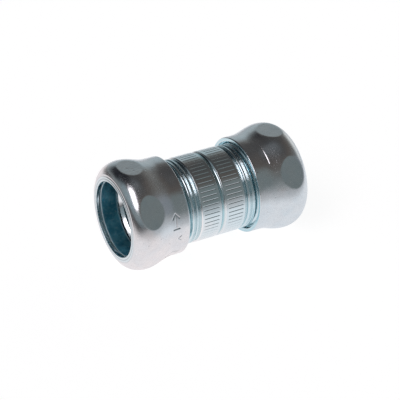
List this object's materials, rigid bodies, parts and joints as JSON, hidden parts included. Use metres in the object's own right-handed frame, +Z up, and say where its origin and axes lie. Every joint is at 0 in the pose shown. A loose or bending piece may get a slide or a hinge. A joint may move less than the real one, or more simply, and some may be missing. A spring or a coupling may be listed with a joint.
{
  "type": "conduit compression coupling",
  "caption": "Straight steel coupling that grips thin wall conduit in each end with a split ring under a domed hex nut, with a knurled middle.",
  "frame": {"origin": "centre of the coupling body, in the middle of its rolled groove, on the axis of the conduit", "axes": "+X along the conduit towards the right hand nut, +Z up through a wrench flat of each nut, with the coupling lying on the opposite flats"},
  "size_m": [0.0472, 0.0266, 0.0254],
  "materials": {
    "coupling_body": "bright zinc plated, turned and knurled",
    "gland_ring": "zinc plated, rolled strip",
    "compression_nut": "bright zinc plated, smooth pressed steel"
  },
  "bodies": {
    "body": {"coupling_body": "coupling_body"},
    "ring_right": {"gland_ring_right": "gland_ring"},
    "nut_right": {"compression_nut_right": "compression_nut"},
    "ring_left": {"gland_ring_left": "gland_ring"},
    "nut_left": {"compression_nut_left": "compression_nut"}
  },
  "joints": [
    {"name": "ring_slide_right", "type": "slide", "parent": "body", "child": "ring_right", "axis": [1, 0, 0], "range_m": [-0.00019, 0.0064]},
    {"name": "nut_turn_right", "type": "hinge", "parent": "ring_right", "child": "nut_right", "pos_m": [0.018, 0, 0], "axis": [1, 0, 0], "range_deg": [-45, 1800]},
    {"name": "ring_slide_left", "type": "slide", "parent": "body", "child": "ring_left", "axis": [-1, 0, 0], "range_m": [-0.00103, 0.0056]},
    {"name": "nut_turn_left", "type": "hinge", "parent": "ring_left", "child": "nut_left", "pos_m": [-0.018, 0, 0], "axis": [-1, 0, 0], "range_deg": [-280, 1560]}
  ],
  "couplings": [
    {"joint": "ring_slide_right", "follows": "nut_turn_right", "m_per_rad": 0.00020213},
    {"joint": "ring_slide_left", "follows": "nut_turn_left", "m_per_rad": 0.00020213}
  ]
}
